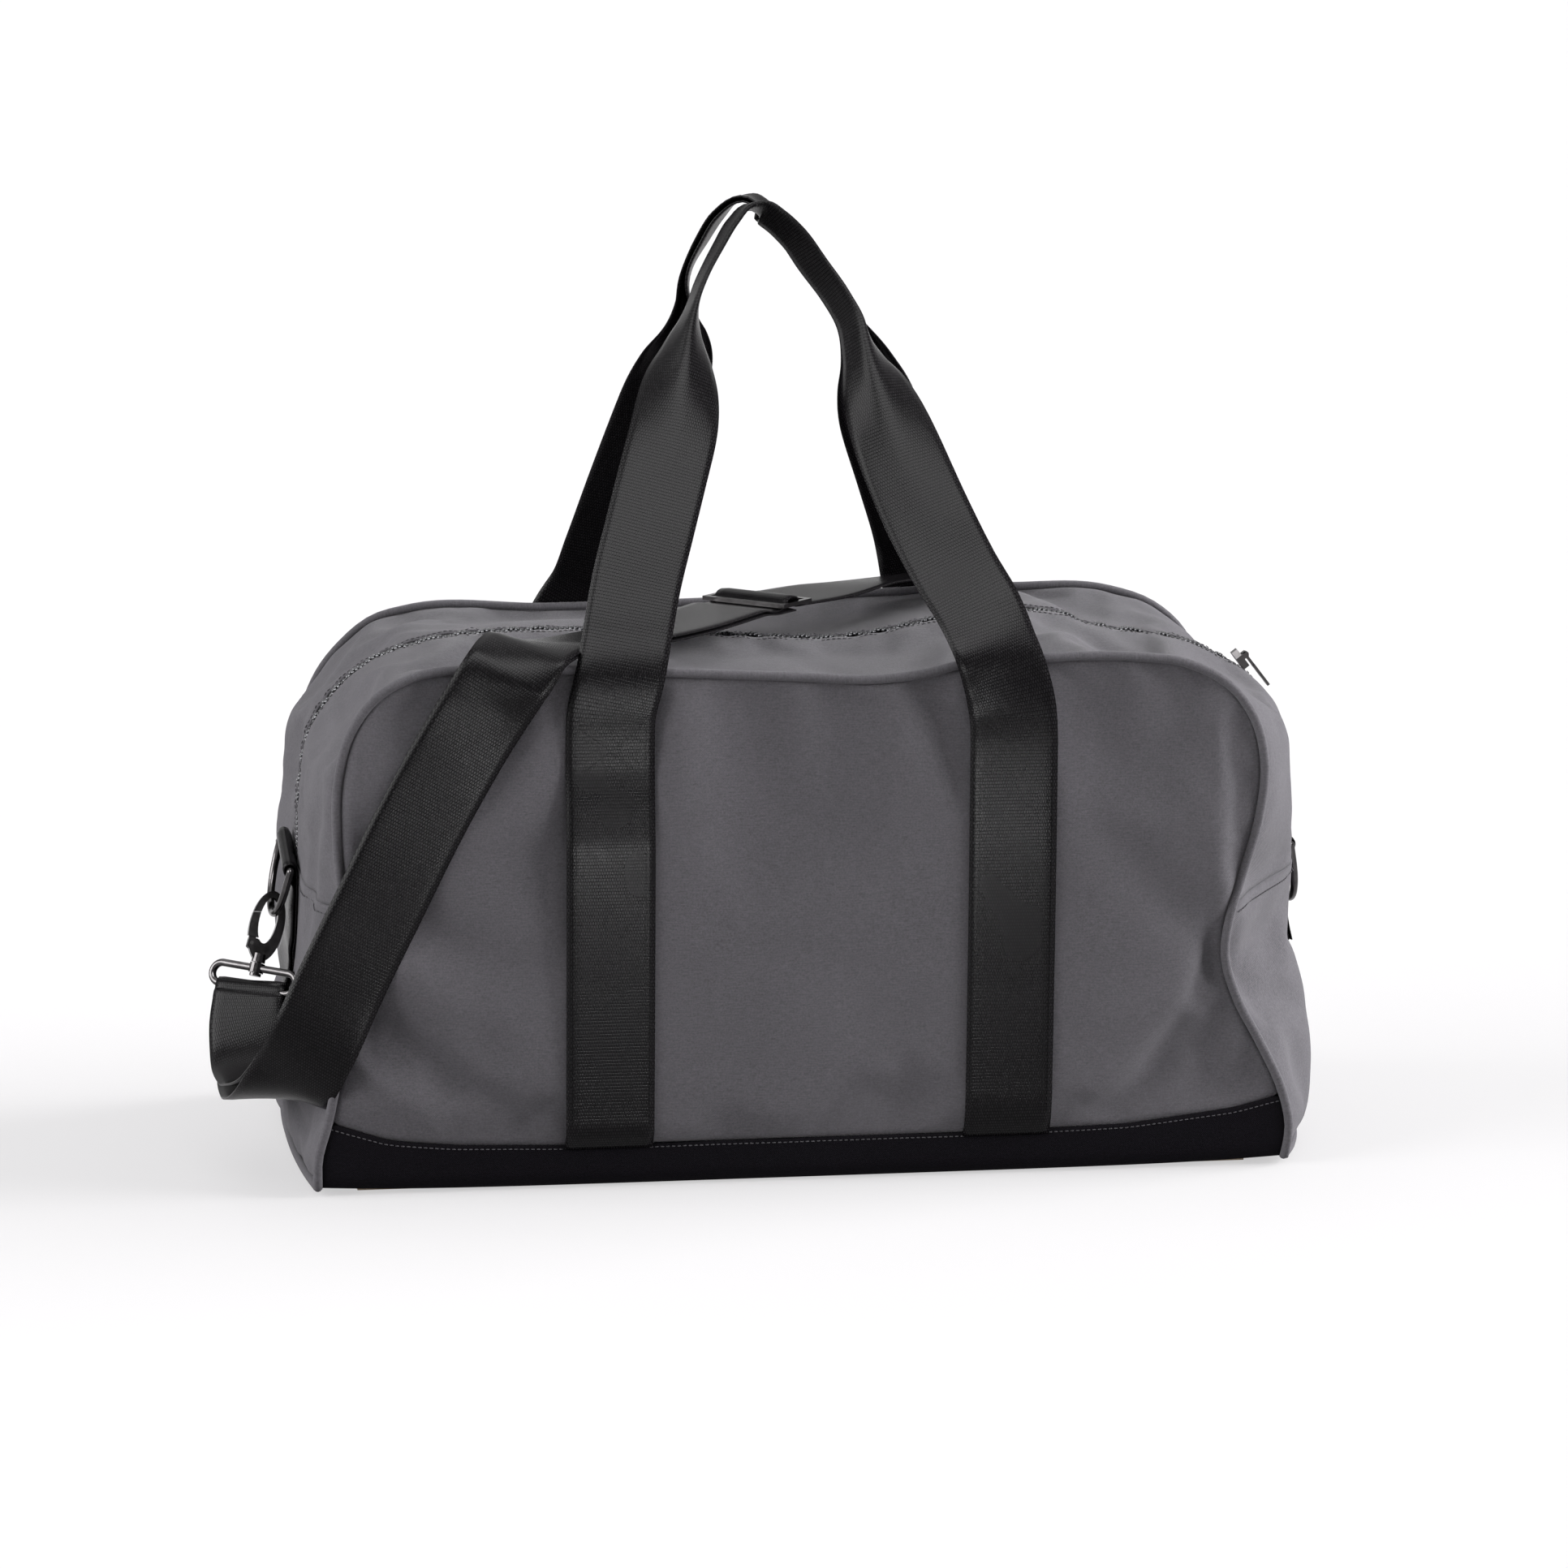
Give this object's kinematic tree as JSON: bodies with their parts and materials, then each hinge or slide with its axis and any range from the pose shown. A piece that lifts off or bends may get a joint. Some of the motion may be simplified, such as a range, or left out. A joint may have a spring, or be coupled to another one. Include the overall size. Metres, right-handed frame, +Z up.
{
  "type": "duffel bag",
  "caption": "Soft canvas weekend duffel bag with a zip over the top, webbing carry handles and a webbing shoulder strap on swivel hooks and D-rings.",
  "frame": {"origin": "on the floor under the middle of the bag's base", "axes": "+X along the bag's length towards the zip slider, +Y from the front panel to the back panel, +Z up"},
  "size_m": [0.6497, 0.29, 0.5486],
  "materials": {
    "canvas": "grey plain-weave canvas, matt",
    "base_fabric": "heavy black woven fabric",
    "webbing": "black ribbed polyester webbing with a soft sheen",
    "lining": "thin plain lining",
    "zip_tape": "black woven zip tape",
    "zip_teeth": "black moulded teeth",
    "board": "stiff board",
    "gunmetal": "polished dark nickel plating"
  },
  "bodies": {
    "shell": {"front_panel": "canvas", "back_panel": "canvas", "front_gusset": "canvas", "back_gusset": "canvas", "left_end_panel": "canvas", "right_end_panel": "canvas", "base_panel": "base_fabric", "base_board": "board", "lining": "lining", "piping": "canvas", "front_zip_tape": "zip_tape", "back_zip_tape": "zip_tape", "front_zip_teeth": "zip_teeth", "back_zip_teeth": "zip_teeth", "zip_end_stops": "zip_teeth", "front_handle_legs": "webbing", "back_handle_legs": "webbing", "left_ring_tab": "webbing", "right_ring_tab": "webbing", "shoulder_strap": "webbing", "strap_adjuster": "gunmetal", "left_strap_loop": "gunmetal", "right_strap_loop": "gunmetal"},
    "front_handle": {"front_handle": "webbing"},
    "back_handle": {"back_handle": "webbing"},
    "zip_slider": {"zip_slider": "gunmetal"},
    "zip_pull": {"zip_pull": "gunmetal"},
    "left_ring": {"left_d_ring": "gunmetal"},
    "right_ring": {"right_d_ring": "gunmetal"},
    "left_hook": {"left_hook": "gunmetal", "left_gate_pin": "gunmetal"},
    "left_gate": {"left_hook_gate": "gunmetal"},
    "right_hook": {"right_hook": "gunmetal", "right_gate_pin": "gunmetal"},
    "right_gate": {"right_hook_gate": "gunmetal"}
  },
  "joints": [
    {"name": "front_handle_fold", "type": "hinge", "parent": "shell", "child": "front_handle", "pos_m": [0, -0.1263, 0.249], "axis": [1, 0, 0], "range_deg": [0, 150]},
    {"name": "back_handle_fold", "type": "hinge", "parent": "shell", "child": "back_handle", "pos_m": [0, 0.1263, 0.249], "axis": [-1, 0, 0], "range_deg": [0, 150]},
    {"name": "zip_slider_travel", "type": "hinge", "parent": "shell", "child": "zip_slider", "pos_m": [0.226, 0, 0.236], "axis": [0, 1, 0], "range_deg": [-48, 32]},
    {"name": "zip_pull_swing", "type": "hinge", "parent": "zip_slider", "child": "zip_pull", "pos_m": [0.27911, 0, 0.2775], "axis": [0, -1, 0], "range_deg": [-4, 150]},
    {"name": "left_ring_swing", "type": "hinge", "parent": "shell", "child": "left_ring", "pos_m": [-0.28552, 0, 0.1735], "axis": [0, 0.9703, 0.2419], "range_deg": [-1, 2]},
    {"name": "right_ring_swing", "type": "hinge", "parent": "shell", "child": "right_ring", "pos_m": [0.30252, 0, 0.168], "axis": [0, -1, 0], "range_deg": [-2, 150]},
    {"name": "left_hook_swivel", "type": "hinge", "parent": "shell", "child": "left_hook", "pos_m": [-0.3037, -0.0016, 0.1051], "axis": [0.2572, 0.2924, 0.9211], "range_deg": [-15, 15]},
    {"name": "left_gate_open", "type": "hinge", "parent": "left_hook", "child": "left_gate", "pos_m": [-0.30637, 0.00238, 0.11935], "axis": [-0.0786, 0.9563, -0.2816], "range_deg": [0, 16]},
    {"name": "right_hook_swivel", "type": "hinge", "parent": "shell", "child": "right_hook", "pos_m": [0.184, 0.146, 0.066], "axis": [0, 0, -1], "continuous": true},
    {"name": "right_gate_open", "type": "hinge", "parent": "right_hook", "child": "right_gate", "pos_m": [0.1776, 0.146, 0.0524], "axis": [0, -1, 0], "range_deg": [0, 16]}
  ]
}
